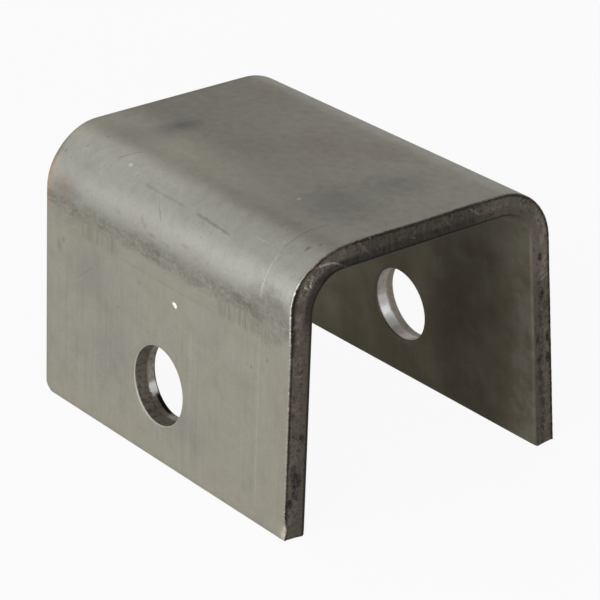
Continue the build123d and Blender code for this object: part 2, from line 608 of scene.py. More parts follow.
@dataclass(frozen=True)
class FaceMarks:
    """Dents and gouges in the outer and inner faces. Millimetres on the blank."""

    gouge: tuple[float, float] = FoldedPlate.gouge
    gouge_depth: float = 0.25
    lip_height: float = 0.14
    foot_nick: tuple[float, float] = (-74.0, -39.4)
    nick_depth: float = 0.42
    dent: tuple[float, float] = (47.0, -16.2)
    dent_depth: float = 0.12

    def shape(self, wear: Wear) -> None:
        """Digs the gouge with its turned-up lip, knocks the foot's corner off and dents the far leg."""
        run, along, depth = wear.run, wear.along, wear.depth
        skin = smooth_step(0.5, 0.05, depth)
        across = (run - self.gouge[0]) * 0.83 - (along - self.gouge[1]) * 0.56
        down = (run - self.gouge[0]) * 0.56 + (along - self.gouge[1]) * 0.83
        dig = np.exp(-((across / 0.3) ** 2) - (down / 0.6) ** 2)
        lip = np.exp(-(((across + 0.42) / 0.2) ** 2) - (down / 0.6) ** 2)
        wear.push(dig * skin, "NORMAL", -self.gouge_depth * MM)
        wear.push(lip * skin, "NORMAL", self.lip_height * MM)
        nick = smooth_step(1.5, 0.2, np.hypot((run - self.foot_nick[0]) * 0.62, along - self.foot_nick[1]))
        wear.push(nick * smooth_step(0.9, 0.1, depth), "X", self.nick_depth * MM)
        dent = np.exp(-(((run - self.dent[0]) / 0.9) ** 2) - ((along - self.dent[1]) / 0.7) ** 2)
        wear.push(dent * smooth_step(4.3, 4.7, depth), "NORMAL", -self.dent_depth * MM)


def linear(red: int, green: int, blue: int) -> tuple[float, float, float, float]:
    """Turns a colour written as 0 to 255 on a screen into Blender's linear colour."""
    parts = (value / 255 for value in (red, green, blue))
    return (*(part / 12.92 if part <= 0.04045 else ((part + 0.055) / 1.055) ** 2.4 for part in parts), 1.0)


class Wire:
    """A number carried by a socket of a shader, which takes part in Python sums."""

    def __init__(self, graph: "Graph", socket: bpy.types.NodeSocket) -> None:
        """Wraps one output socket."""
        self.graph = graph
        self.socket = socket

    def _sum(self, work: str, *values: "Wire | float", clamp: bool = False) -> "Wire":
        """Adds one Math node on these values."""
        settings = {"operation": work, "use_clamp": clamp}
        return self.graph.node("ShaderNodeMath", settings, dict(enumerate(values)))

    def __add__(self, other: "Wire | float") -> "Wire":
        """Self plus other."""
        return self._sum("ADD", self, other)

    __radd__ = __add__

    def __mul__(self, other: "Wire | float") -> "Wire":
        """Self times other."""
        return self._sum("MULTIPLY", self, other)

    __rmul__ = __mul__

    def __sub__(self, other: "Wire | float") -> "Wire":
        """Self less other."""
        return self._sum("SUBTRACT", self, other)

    def __rsub__(self, other: "Wire | float") -> "Wire":
        """Other less self."""
        return self._sum("SUBTRACT", other, self)

    def __abs__(self) -> "Wire":
        """Self without its sign."""
        return self._sum("ABSOLUTE", self)

    def most(self, other: "Wire | float") -> "Wire":
        """The larger of the two."""
        return self._sum("MAXIMUM", self, other)

    def kept(self) -> "Wire":
        """Self, kept between 0 and 1."""
        return self._sum("ADD", self, 0.0, clamp=True)

    def smooth(self, low: float, high: float) -> "Wire":
        """Smooth rise from 0 at low to 1 at high, or a fall where low is above high."""
        first, last, start, end = (low, high, 0.0, 1.0) if low < high else (high, low, 1.0, 0.0)
        return self.graph.node(
            "ShaderNodeMapRange",
            {"interpolation_type": "SMOOTHSTEP"},
            {"Value": self, "From Min": first, "From Max": last, "To Min": start, "To Max": end},
        )


def fresh_material(name: str) -> bpy.types.Material:
    """Makes a material with its shader and output."""
    material = bpy.data.materials.new(name)
    material.use_nodes = True
    return material


class Graph:
    """Node tree of one material or of the world."""

    def __init__(self, tree: bpy.types.NodeTree) -> None:
        """Takes the tree to build in."""
        self.tree = tree

    def node(
        self, kind: str, settings: dict[str, object], sockets: dict[str | int, object], output: str | int = 0
    ) -> Wire:
        """Adds a node.

        Args:
            kind: Its Blender type.
            settings: Its settings, set before its sockets.
            sockets: Values or wires for its inputs, by name or number.
            output: Which of its outputs to return.

        Returns:
            The output as a wire.
        """
        node = self.tree.nodes.new(kind)
        for key, value in settings.items():
            setattr(node, key, value)
        for key, value in sockets.items():
            if isinstance(value, Wire):
                self.tree.links.new(value.socket, node.inputs[key])
            else:
                node.inputs[key].default_value = value
        return Wire(self, node.outputs[output])

    def backdrop(self, end: str, lit: Wire, white: Wire, seen_share: float, mirrored_share: float) -> None:
        """Shows plain white to the camera and through clear things, and some of it to mirroring surfaces.

        Args:
            end: Name of the tree's output node.
            lit: What lights the object.
            white: What the camera sees.
            seen_share: Share of white that the camera sees.
            mirrored_share: Share of white that mirroring surfaces see.
        """
        seen, mirrored, through = (
            self.node("ShaderNodeLightPath", {}, {}, ray)
            for ray in ("Is Camera Ray", "Is Glossy Ray", "Is Transmission Ray")
        )
        share = (seen + through) * seen_share + mirrored * mirrored_share
        mixed = self.node("ShaderNodeMixShader", {}, {0: share, 1: lit, 2: white})
        self.tree.links.new(mixed.socket, self.tree.nodes[end].inputs["Surface"])


@dataclass(frozen=True)
class Spot:
    """Soft oval mark on the blank, in millimetres: its middle, its half sizes and how strong it is."""

    centre: tuple[float, float]
    halves: tuple[float, float]
    strength: float = 1.0


@dataclass(frozen=True)
class Stroke:
    """Scratch on the blank, in millimetres: its ends, its width and how strong it is."""

    start: tuple[float, float]
    end: tuple[float, float]
    width: float
    strength: float


class FaceGraph(Graph):
    """Node tree of one finish of the plate, painted on the flat blank."""

    def __init__(self, name: str) -> None:
        """Makes the material and reads the places on the blank, in millimetres."""
        self.material = fresh_material(name)
        super().__init__(self.material.node_tree)
        self.shader = self.tree.nodes["Principled BSDF"]
        self.place = self.node("ShaderNodeAttribute", {"attribute_name": "blank"}, {}, "Vector")
        self.run, self.along, self.depth = (
            self.node("ShaderNodeSeparateXYZ", {}, {"Vector": self.place}, axis) for axis in "XYZ"
        )

    def vector(self, work: str, *values: object, output: str | int = 0) -> Wire:
        """Adds one Vector Math node on these values."""
        return self.node("ShaderNodeVectorMath", {"operation": work}, dict(enumerate(values)), output)

    def noise(self, factors: tuple[float, float, float], detail: float = 2.0, rough: float = 0.5) -> Wire:
        """Noise on the blank, from 0 to 1.

        Args:
            factors: Lumps per millimetre round the section, along the folds and through the plate.
            detail: Finer layers.
            rough: Strength of the finer layers.

        Returns:
            The noise.
        """
        sockets = {"Vector": self.vector("MULTIPLY", self.place, factors), "Scale": 1.0}
        return self.node("ShaderNodeTexNoise", {}, {**sockets, "Detail": detail, "Roughness": rough})

    def shaken(self, place: Wire, lumps: float, reach: tuple[float, float], detail: float = 2.0) -> Wire:
        """Shakes a place on the blank a little, so that marks drawn on it aren't neat.

        Args:
            place: The steady place.
            lumps: Lumps of the shaking per millimetre.
            reach: How far it shakes, both ways.
            detail: Finer layers.

        Returns:
            The shaken place.
        """
        sockets = {"Vector": self.place, "Scale": lumps, "Detail": detail}
        noise = self.node("ShaderNodeTexNoise", {}, sockets, "Color")
        shift = self.vector("SUBTRACT", noise, (0.5, 0.5, 0.5))
        return self.vector("ADD", place, self.vector("MULTIPLY", shift, (*reach, 0.0)))

    def spot(self, place: Wire, spot: Spot) -> Wire:
        """How near a place is to a spot's middle: 1 there, falling smoothly to 0 at its rim."""
        away = self.vector("SUBTRACT", place, (*spot.centre, 0.0))
        away = self.vector("MULTIPLY", away, (1 / spot.halves[0], 1 / spot.halves[1], 0.0))
        return self.vector("LENGTH", away, output="Value").smooth(1.0, 0.0)

    def spots(self, place: Wire, spots: tuple[Spot, ...], full: float | None = None) -> Wire:
        """How strongly the strongest of these spots covers a place.

        Args:
            place: Place on the blank, plain or shaken.
            spots: The spots.
            full: Nearness from which a spot is at its full strength, or None where only its middle is.

        Returns:
            The share of the strongest spot there, 0 outside them all.
        """
        shares = [self.spot(place, spot) for spot in spots]
        if full is not None:
            shares = [share.smooth(0.0, full) for share in shares]
        return reduce(Wire.most, (share * spot.strength for share, spot in zip(shares, spots)))

    def stroke(self, place: Wire, stroke: Stroke) -> Wire:
        """How near a place is to a scratch's middle line: 1 there, falling to 0 at its sides and ends."""
        start, end = stroke.start, stroke.end
        reach = math.dist(start, end) / 2
        middle = ((start[0] + end[0]) / 2, (start[1] + end[1]) / 2, 0.0)
        way = ((end[0] - start[0]) / 2 / reach**2, (end[1] - start[1]) / 2 / reach**2, 0.0)
        side = (-way[1] * 2 * reach / stroke.width, way[0] * 2 * reach / stroke.width, 0.0)
        away = self.vector("SUBTRACT", place, middle)
        down = abs(self.vector("DOT_PRODUCT", away, way, output="Value"))
        across = abs(self.vector("DOT_PRODUCT", away, side, output="Value"))
        return down.smooth(1.0, 0.75) * across.smooth(1.0, 0.2)

    def strokes(self, place: Wire, strokes: tuple[Stroke, ...]) -> Wire:
        """How strongly the strongest of these scratches covers a place."""
        return reduce(Wire.most, (self.stroke(place, stroke) * stroke.strength for stroke in strokes))

    def blend(self, share: Wire | float, one: object, other: object) -> Wire:
        """Mixes two colours by a share, where 1 is the other."""
        settings = {"data_type": "RGBA", "blend_type": "MIX", "clamp_factor": True}
        return self.node("ShaderNodeMix", settings, {0: share, 6: one, 7: other}, 2)

    def shade(self, colour: Wire, factor: Wire) -> Wire:
        """Makes a colour lighter or darker by a factor."""
        grey = self.node("ShaderNodeCombineXYZ", {}, {0: factor, 1: factor, 2: factor})
        return self.vector("MULTIPLY", colour, grey)

    def finish(
        self, colour: Wire, rough: Wire, metal: Wire, height: Wire, relief: float
    ) -> bpy.types.Material:
        """Joins the pattern to the shader.

        Args:
            colour: Base colour.
            rough: Roughness.
            metal: How metallic.
            height: Height of the finest relief, from 0 to 1.
            relief: Depth of that relief, in metres.

        Returns:
            The material.
        """
        bump = self.node("ShaderNodeBump", {}, {"Strength": 1.0, "Distance": relief, "Height": height})
        ends = (("Base Color", colour), ("Roughness", rough), ("Metallic", metal), ("Normal", bump))
        for name, wire in ends:
            self.tree.links.new(wire.socket, self.shader.inputs[name])
        return self.material


@dataclass(frozen=True)
class Rolling:
    """Patterns that rolling and handling left all over the plate."""

    wide_clouds: Wire
    clouds: Wire
    streaks: Wire
    fine_streaks: Wire
    grit: Wire
    mottled: Wire
    freckles: Wire
    inner: Wire

    @classmethod
    def on(cls, g: FaceGraph) -> "Rolling":
        """Lays the patterns on a finish."""
        return cls(
            wide_clouds=g.noise((0.06, 0.07, 0.0), 2.0, 0.5),
            clouds=g.noise((0.23, 0.2, 0.0), 3.0, 0.55),
            streaks=g.noise((0.035, 1.1, 0.0), 3.0, 0.6),
            fine_streaks=g.noise((0.25, 5.0, 0.0), 2.0, 0.6),
            grit=g.noise((2.6, 2.6, 0.0), 2.0, 0.7),
            mottled=g.noise((0.55, 0.42, 0.0), 4.0, 0.62),
            freckles=g.noise((1.7, 1.4, 0.0), 2.0, 0.6),
            inner=g.depth.smooth(2.0, 2.8),
        )

    @property
    def outer(self) -> Wire:
        """1 on the outer face and 0 on the inner one."""
        return 1 - self.inner


@dataclass(frozen=True)
class MillFace:
    """Finish of the plate's rolled faces: satin grey with rolling streaks, stains and forming marks."""

    leg_steel: tuple[int, int, int] = (175, 172, 158)
    web_steel: tuple[int, int, int] = (171, 167, 153)
    bend_steel: tuple[int, int, int] = (172, 171, 163)
    # Darker inner face: a duller skin, and painted shade inside the channel.
    inner_steel_and_shade: tuple[int, int, int] = (112, 104, 86)
    violet: tuple[int, int, int] = (128, 125, 130)
    brown: tuple[int, int, int] = (160, 142, 126)
    olive: tuple[int, int, int] = (150, 147, 126)
    soot: tuple[int, int, int] = (69, 63, 48)
    rust: tuple[int, int, int] = (184, 150, 120)
    bright: tuple[int, int, int] = (238, 236, 226)
    roughness: float = 0.42
    metallic: float = 0.85
    relief: float = 0.006 * MM
    bend_line: float = 32.5
    near_hole: Spot = Spot((-60.4, 0.8), (9.0, 9.0))
    # Where the painted highlight on the front outer edge is strongest: the lip and the burr by the near bend.
    bright_lip: Spot = Spot((-28.2, -39.6), (5.5, 1.4))
    burr: Spot = Spot((-32.0, -39.5), (7.5, 3.0))
    near_smudge: Spot = Spot((-34.6, -32.5), (7.6, 11.0), 1.1)
    far_smudge: Spot = Spot((-35.0, 32.0), (8.0, 12.0), 0.8)
    dark_runs: tuple[Spot, ...] = (Spot((-34.5, 2.5), (60.0, 7.0)), Spot((-34.5, -26.0), (60.0, 9.0)))
    rubbed_runs: tuple[Spot, ...] = (Spot((-37.0, 22.0), (60.0, 9.5)), Spot((-37.0, -26.0), (60.0, 12.0)))
    violet_spots: tuple[Spot, ...] = (
        Spot((-7.2, 25.6), (7.0, 4.2), 0.7),
        Spot((-12.0, 25.0), (6.0, 5.5), 0.35),
        Spot((-8.0, -24.0), (13.0, 13.0), 0.45),
        Spot((6.0, -24.0), (9.0, 10.0), 0.45),
        Spot((-18.0, 28.0), (7.0, 10.0), 0.35),
        Spot((-58.0, 16.0), (14.0, 10.0), 0.22),
        Spot((-46.0, 24.0), (9.0, 12.0), 0.3),
        Spot((-66.0, -8.0), (8.0, 14.0), 0.2),
    )
    brown_spots: tuple[Spot, ...] = (
        Spot((8.0, -2.0), (10.0, 14.0), 0.4),
        Spot((15.0, -10.0), (7.0, 9.0), 0.5),
        Spot((17.0, 30.0), (8.0, 8.0), 0.3),
        Spot((-2.0, 8.0), (9.0, 8.0), 0.2),
        Spot((-31.5, 34.0), (4.0, 6.5), 0.6),
        Spot((-31.0, 8.0), (2.5, 8.0), 0.2),
        Spot((-31.5, -10.0), (2.5, 8.0), 0.2),
        Spot((-60.0, -38.5), (24.0, 2.0), 0.2),
    )
    dark_spots: tuple[Spot, ...] = (
        Spot((-43.5, 35.0), (2.6, 1.6), 0.4),
        Spot((-42.0, 33.6), (1.3, 1.4), 0.45),
        Spot((-37.2, 35.6), (3.0, 4.2), 0.35),
        Spot((-36.0, 28.0), (3.6, 6.5), 0.34),
        Spot((-33.5, 33.0), (3.0, 5.0), 0.3),
        Spot((-34.4, 22.0), (2.0, 7.0), 0.42),
        Spot((-34.0, -16.5), (1.6, 5.0), 0.42),
        Spot((-41.8, 7.4), (0.9, 0.8), 0.4),
        Spot((-49.4, 14.7), (0.6, 0.8), 0.3),
        Spot((-45.7, -28.2), (0.6, 0.5), 0.6),
        Spot((-42.7, -32.8), (0.8, 0.6), 0.4),
        Spot((-22.0, -34.9), (1.0, 0.6), 0.65),
        Spot((-20.5, -36.2), (0.6, 0.6), 0.45),
        Spot((-32.0, -31.2), (2.0, 1.0), 0.55),
        Spot((-20.7, 30.6), (0.5, 0.5), 0.4),
        Spot((-26.1, 37.1), (0.6, 0.6), 0.4),
        Spot((-31.5, 4.0), (0.5, 3.0), 0.35),
        Spot((-30.4, -6.5), (0.4, 2.2), 0.3),
    )
    scratches: tuple[Stroke, ...] = (
        Stroke((-73.0, -11.6), (-44.0, -12.0), 0.9, 0.09),
        Stroke((-73.0, -29.2), (-40.0, -29.2), 0.9, 0.1),
        Stroke((-73.0, 32.5), (-44.0, 32.5), 1.6, 0.08),
        Stroke((-25.0, 12.0), (-25.2, -3.0), 0.7, 0.22),
        Stroke((-25.2, -5.0), (-25.8, -17.0), 0.7, 0.4),
        Stroke((-26.2, 5.2), (-28.9, 2.2), 0.35, 0.45),
        Stroke((-23.4, 23.0), (-20.2, 19.6), 0.4, 0.4),
        Stroke((-24.3, -30.3), (-15.5, -30.6), 0.6, 0.3),
        Stroke((-48.5, 29.0), (-44.0, 23.0), 0.35, 0.25),
    )
    light_lines: tuple[Stroke, ...] = (
        Stroke((-32.0, -30.1), (-24.6, -30.2), 0.35, 0.36),
        Stroke((-24.3, -22.0), (-23.9, -30.0), 0.35, 0.16),
        Stroke((-74.0, -30.5), (-36.0, -30.3), 0.4, 0.22),
        Stroke((-74.0, -9.2), (-44.0, -9.4), 0.7, 0.08),
        Stroke((-41.8, -3.4), (-42.8, -4.8), 0.95, 1.0),
    )
    light_spots: tuple[Spot, ...] = (
        Spot((-23.3, 18.6), (0.5, 0.8), 0.4),
        Spot((-11.9, -17.8), (0.6, 0.7), 0.4),
        Spot((-73.9, -39.2), (0.9, 0.5), 0.5),
    )

    def material(self) -> bpy.types.Material:
        """Builds the finish."""
        g = FaceGraph("mill_face")
        base = Rolling.on(g)
        on_leg = abs(g.run).smooth(27.0, 33.0)
        rust = g.along.smooth(36.5, 39.5) * abs(g.run + self.bend_line).smooth(6.5, 2.0) * base.outer
        dirt = self.dirt(g, base)
        shine = self.shine(g, base)
        colour = self.stained(g, base, self.steel(g, base, on_leg))
        colour = g.blend(rust * base.clouds.smooth(0.35, 0.6) * 0.6, colour, linear(*self.rust))
        colour = g.blend(dirt, colour, linear(*self.soot))
        # The bright lines and nicks are real marks; the front outer edge's brightness is a painted highlight.
        colour = g.blend(shine.most(self.painted_edge_highlight(g) * base.outer), colour, linear(*self.bright))
        colour = g.shade(colour, self.tone(g, base, on_leg))
        rough = self.roughness + (base.clouds - 0.5) * 0.14 + dirt * 0.2 - shine * 0.1 + base.inner * 0.08
        metal = self.metallic - dirt * 0.6 - rust * 0.4
        height = base.fine_streaks * self.drawn(on_leg) * 0.5 + base.grit * 0.5
        return g.finish(colour, rough.kept(), metal.kept(), height, self.relief)

    def steel(self, g: FaceGraph, base: Rolling, on_leg: Wire) -> Wire:
        """Bare steel: lighter on the legs and bends; darker inside, as a duller skin and as painted shade in
        the channel; lighter towards the inner face's front end as painted light, and along its bends towards
        the front.

        Args:
            g: Node tree to build in.
            base: Patterns of the plate.
            on_leg: 1 on the legs and 0 on the web.

        Returns:
            The colour.
        """
        colour = g.blend(on_leg, linear(*self.web_steel), linear(*self.leg_steel))
        bend = abs(abs(g.run) - 27.8).smooth(11.0, 2.0)
        colour = g.blend(bend, colour, linear(*self.bend_steel))
        # The inner face takes the darker steel, which also paints the shade inside the channel.
        colour = g.blend(base.inner, colour, linear(*self.inner_steel_and_shade))
        # Painted light near the open front end of the inner face; lighter along the inner bends towards the
        # front.
        painted_light_front_end = g.along.smooth(-29.0, -38.0) * (0.15 + base.clouds.smooth(0.35, 0.65) * 0.3)
        lighter_inner_bend = abs(abs(g.run) - 34.0).smooth(7.0, 1.0) * g.along.smooth(8.0, -24.0) * 0.3
        return g.blend(base.inner * painted_light_front_end.most(lighter_inner_bend), colour, linear(*self.web_steel))

    def stained(self, g: FaceGraph, base: Rolling, colour: Wire) -> Wire:
        """Lays wide olive and violet clouds and the seen stains over a colour.

        Args:
            g: Node tree to build in.
            base: Patterns of the plate.
            colour: The bare steel's colour.

        Returns:
            The stained colour.
        """
        colour = g.blend(base.wide_clouds.smooth(0.45, 0.75) * 0.3, colour, linear(*self.olive))
        colour = g.blend(base.clouds.smooth(0.5, 0.78) * 0.25, colour, linear(*self.violet))
        wavy = g.shaken(g.place, 1 / 2.2, (1.4, 1.4))
        for spots, paint in ((self.violet_spots, self.violet), (self.brown_spots, self.brown)):
            for spot in spots:
                colour = g.blend(g.spot(wavy, spot) * spot.strength * base.outer, colour, linear(*paint))
        return colour

    def dirt(self, g: FaceGraph, base: Rolling) -> Wire:
        """How dark the dirt is: the die's line, speckles, spots and scratches; and how much darker the inner
        edges are made round the near hole and along the front end.

        Args:
            g: Node tree to build in.
            base: Patterns of the plate.

        Returns:
            A number from 0 to 1.
        """
        mottled, clouds = base.mottled, base.clouds
        speckled = base.freckles.smooth(0.6, 0.74) * mottled.smooth(0.45, 0.6)
        speckled = speckled * abs(g.run + 24.0).smooth(16.0, 8.0) * 0.42
        patches = mottled.smooth(0.5, 0.68) * clouds.smooth(0.4, 0.6)
        patches = patches * abs(g.run + 33.5).smooth(8.0, 2.0) * 0.36
        shaken = g.shaken(g.place, 1 / 0.9, (0.6, 0.6))
        lines = g.strokes(shaken, self.scratches) * base.grit.smooth(0.3, 0.5)
        outside = self.die_line(g, base).most(speckled).most(patches)
        outside = outside.most(g.spots(shaken, self.dark_spots)).most(lines) * base.outer
        # Darker inner edges round the near hole and along the front end.
        rim = g.spot(g.place, self.near_hole).smooth(0.0, 0.05) * g.depth.smooth(4.2, 4.35)
        rim = rim * g.depth.smooth(4.75, 4.6) * 0.85
        roll = g.depth.smooth(4.0, 4.3) * g.depth.smooth(4.76, 4.7) * g.along.smooth(-38.6, -39.1)
        return outside.most(rim).most(roll * (0.4 + g.run.smooth(30.0, 20.0) * 0.4))

    def shine(self, g: FaceGraph, base: Rolling) -> Wire:
        """How bright the fine bright lines and nicks are, from 0 to 1."""
        lines = g.strokes(g.shaken(g.place, 1 / 2.5, (0.24, 0.24)), self.light_lines)
        lines = lines * base.grit.smooth(0.2, 0.55)
        return lines.most(g.spots(g.place, self.light_spots, 0.5)) * base.outer

    def drawn(self, on_leg: Wire) -> Wire:
        """How strong the rolling streaks are: stronger on the legs."""
        return 0.25 + on_leg * 0.75

    def tone(self, g: FaceGraph, base: Rolling, on_leg: Wire) -> Wire:
        """Lightness of each place, around 1, with painted shade deep inside the channel and painted light on
        the left of the web.

        Args:
            g: Node tree to build in.
            base: Patterns of the plate.
            on_leg: 1 on the legs and 0 on the web.

        Returns:
            A factor for the colour.
        """
        drawn = self.drawn(on_leg)
        streaked = (base.streaks - 0.5) * drawn * 0.2 + (base.fine_streaks - 0.5) * drawn * 0.14
        cloudy = (base.clouds - 0.5) * 0.3 + (base.wide_clouds - 0.5) * 0.3
        mottled = (base.mottled - 0.5) * (0.5 - on_leg * 0.3) + (base.grit - 0.5) * 0.34
        # Painted shade on the inner face deep inside the channel, and painted light on the web's left side,
        # brighter towards the back.
        painted_shade_inside = base.inner * abs(g.along + 20.0).smooth(14.0, 4.0) * 0.28
        painted_light_left_web = abs(g.run + 17.0).smooth(12.0, 1.0) * (0.12 + g.along.smooth(-25.0, 25.0) * 0.4)
        return 1 + streaked + cloudy + mottled - painted_shade_inside + painted_light_left_web * base.outer

    def die_line(self, g: FaceGraph, base: Rolling) -> Wire:
        """Smudged line that the folding die left below the left bend, with rubbed streaks under it.

        Args:
            g: Node tree to build in.
            base: Patterns of the plate.

        Returns:
            How dark the marks are, from 0 to 1.
        """
        blotches = g.noise((0.45, 0.16, 0.0), 4.0, 0.7)
        wander = g.noise((0.0, 0.06, 0.0), 2.0, 0.5) - 0.5
        crumbs = g.noise((1.3, 0.9, 0.0), 4.0, 0.75).smooth(0.36, 0.62)
        line = g.run + 34.5 + wander * 1.6
        darker = 0.24 + g.spots(g.place, self.dark_runs) * 0.13
        core = 0.16 + crumbs * 0.28 + blotches.smooth(0.35, 0.62) * darker
        core = abs(line).smooth(3.4, 0.6) * core
        bars = (base.streaks * 0.5 + base.fine_streaks * 0.5).smooth(0.42, 0.6)
        rubbed = g.spots(g.place, self.rubbed_runs).smooth(0.0, 0.35) * (0.1 + bars * 0.3)
        rubbed = (0.04 + bars * 0.06 + rubbed) * (g.run + 37.0).smooth(-3.4, -1.4)
        rubbed = rubbed * (g.run + 34.4).smooth(0.4, -0.4)
        top_line = abs(g.run + 39.2 + wander * 0.6).smooth(0.5, 0.05)
        top_line = top_line * abs(g.along - 8.0).smooth(26.0, 22.0) * 0.16
        near_end = g.spot(g.place, self.near_smudge).smooth(0.0, 0.5) * self.near_smudge.strength
        far_end = g.spot(g.place, self.far_smudge).smooth(0.0, 0.6) * self.far_smudge.strength
        smudge = near_end.most(far_end) * (0.1 + crumbs * 0.16 + blotches.smooth(0.35, 0.65) * 0.26)
        specks = abs(line - 3.6).smooth(2.0, 0.3) * blotches.smooth(0.55, 0.75)
        specks = specks * base.grit.smooth(0.4, 0.65) * 0.5
        return core.most(rubbed).most(top_line).most(specks).most(smudge)

    def painted_edge_highlight(self, g: FaceGraph) -> Wire:
        """Painted highlight along the outer edge where the outer face meets the front cut end, strongest on
        the near bend's lip and burr, from 0 to 1.
        """
        notched = g.noise((1.4, 0.0, 0.0), 3.0, 0.7).smooth(0.4, 0.6)
        lip = g.along.smooth(-39.4, -39.62) * g.depth.smooth(0.3, 0.1)
        lip = lip * (0.1 + notched * 0.45 + g.spot(g.place, self.bright_lip) * (0.7 + notched * 0.9))
        burr = g.along.smooth(-39.05, -39.3) * g.depth.smooth(0.4, 0.15)
        burr = burr * g.spot(g.place, self.burr).smooth(0.0, 0.6) * (0.35 + notched * 0.65)
        return lip.most(burr)


@dataclass(frozen=True)
class CutFace:
    """Finish of the sheared ends: a smooth burnished band by the inner face and torn metal by the outer."""

    torn: tuple[int, int, int] = (129, 118, 105)
    burnished: tuple[int, int, int] = (110, 98, 88)
    violet: tuple[int, int, int] = (110, 100, 106)
    pit: tuple[int, int, int] = (28, 15, 12)
    dark: tuple[int, int, int] = (24, 22, 17)
    olive: tuple[int, int, int] = (92, 90, 74)
    bright: tuple[int, int, int] = (196, 192, 182)
    scratches: tuple[Stroke, ...] = (
        Stroke((10.5, 0.7), (12.9, 2.5), 0.4, 0.5),
        Stroke((-15.2, 0.4), (-12.6, 3.2), 0.6, 0.25),
        Stroke((4.2, 0.4), (6.4, 3.4), 0.5, 0.2),
        Stroke((-3.2, 2.6), (-2.2, 3.1), 0.4, 0.45),
        Stroke((-11.2, 2.4), (-10.6, 3.2), 0.35, 0.4),
        Stroke((39.3, 0.6), (40.2, 3.0), 0.3, 0.35),
        Stroke((40.2, 0.4), (41.2, 2.8), 0.3, 0.4),
        Stroke((-43.6, 0.9), (-44.2, 2.6), 0.5, 0.2),
        Stroke((-12.6, 0.1), (-12.2, 0.5), 0.6, 0.5),
        # These three follow the squeezed-up ridge and paint its highlight.
        Stroke((-23.6, 0.8), (-21.4, 1.9), 0.7, 0.75),
        Stroke((-21.6, 1.7), (-19.6, 3.2), 0.6, 0.6),
        Stroke((-19.8, 3.0), (-17.9, 4.4), 0.5, 0.4),
    )
    stains: tuple[Spot, ...] = (
        Spot((-68.9, 1.1), (1.2, 0.8), 0.95),
        Spot((-71.0, 0.4), (1.2, 0.5), 0.6),
        Spot((-67.4, 2.2), (1.5, 1.1), 0.75),
        Spot((-64.6, 2.3), (2.6, 1.5), 0.9),
        Spot((-62.6, 1.6), (2.0, 1.1), 0.65),
        Spot((-56.0, 3.2), (1.1, 0.7), 0.85),
        Spot((-55.6, 1.6), (1.0, 0.8), 0.6),
        Spot((-51.2, 1.0), (0.7, 0.6), 0.5),
        Spot((-46.4, 2.4), (0.8, 0.6), 0.35),
        Spot((-35.5, 0.6), (0.8, 0.4), 0.8),
        Spot((-31.0, 1.2), (1.4, 1.0), 0.5),
        Spot((36.2, 2.5), (1.1, 0.8), 0.9),
        Spot((29.9, 1.6), (0.8, 0.5), 0.4),
        Spot((44.2, 2.2), (1.9, 0.8), 0.9),
        Spot((46.6, 1.4), (1.4, 1.1), 0.6),
        Spot((48.6, 2.6), (1.6, 0.9), 0.35),
        Spot((53.4, 1.0), (1.5, 0.7), 0.9),
        Spot((53.4, 3.5), (1.4, 0.7), 0.9),
        Spot((58.0, 1.0), (1.7, 0.8), 0.95),
        Spot((57.9, 3.3), (1.2, 0.9), 0.85),
        Spot((61.0, 3.0), (2.2, 0.9), 0.85),
        Spot((64.5, 2.9), (1.7, 0.9), 0.75),
        Spot((67.4, 2.5), (2.2, 1.0), 0.6),
    )
    torn_patch: Spot = Spot((-27.0, 1.6), (3.0, 1.5))
    front: float = -39.0
    relief: float = 0.12 * MM

    def material(self) -> bpy.types.Material:
        """Builds the finish."""
        g = FaceGraph("cut_face")
        place = g.node("ShaderNodeCombineXYZ", {}, {0: g.run, 1: g.depth, 2: 0.0})
        mottle = g.noise((0.45, 0.3, 0.55), 4.0, 0.65)
        lumps = g.noise((1.5, 1.5, 1.8), 3.0, 0.65)
        smears = g.noise((3.5, 0.5, 0.25), 2.0, 0.6)
        grit = g.noise((5.0, 5.0, 5.0), 2.0, 0.7)
        front = g.along.smooth(self.front + 1, self.front)
        burnished = (g.depth + (mottle - 0.5) * 1.4).smooth(2.2, 2.9)
        pitted = self.pitted(g, place, mottle, lumps, front)
        shine = self.shine(g, place, grit) * front
        colour = g.blend(burnished, linear(*self.torn), linear(*self.burnished))
        colour = g.blend(mottle.smooth(0.44, 0.58) * 0.8, colour, linear(*self.olive))
        colour = g.blend(lumps.smooth(0.5, 0.64) * 0.65, colour, linear(*self.violet))
        colour = g.blend(pitted * 0.95, colour, linear(*self.pit))
        colour = g.blend(self.dark_edges(g, lumps, front) * 0.9, colour, linear(*self.dark))
        # Painted highlight along the cut end's outer edge, broken up by notches.
        notched = g.noise((1.4, 0.0, 0.0), 3.0, 0.7).smooth(0.42, 0.6)
        lip = g.depth.smooth(0.16, 0.04) * notched * 0.7
        colour = g.blend(shine.most(lip), colour, linear(*self.bright))
        # Painted light and shade on the front end, whose faces all face one way: darker across the web and on
        # the inner half by the near bend as painted shade, lighter by the right bend as painted light.
        web = abs(g.run + 1.0).smooth(19.0, 10.0) * front
        under = abs(g.run + 25.0).smooth(13.0, 7.0) * g.depth.smooth(2.2, 3.2) * front
        painted_light_right_bend = abs(g.run - 34.0).smooth(10.0, 3.0) * front
        tone = 1 - web * (0.46 + burnished * 0.14) - under * 0.55 + painted_light_right_bend * 0.5
        tone = tone + (smears - 0.5) * 0.7 + (grit - 0.5) * 0.5 + (mottle - 0.5)
        colour = g.shade(colour, tone)
        rough = (0.5 + (lumps - 0.5) * 0.2 - burnished * 0.08 - shine * 0.15).kept()
        metal = (0.7 - pitted * 0.5 + shine * 0.2).kept()
        height = lumps * 0.6 + smears * burnished * 0.3 + grit * 0.3
        return g.finish(colour, rough, metal, height, self.relief)

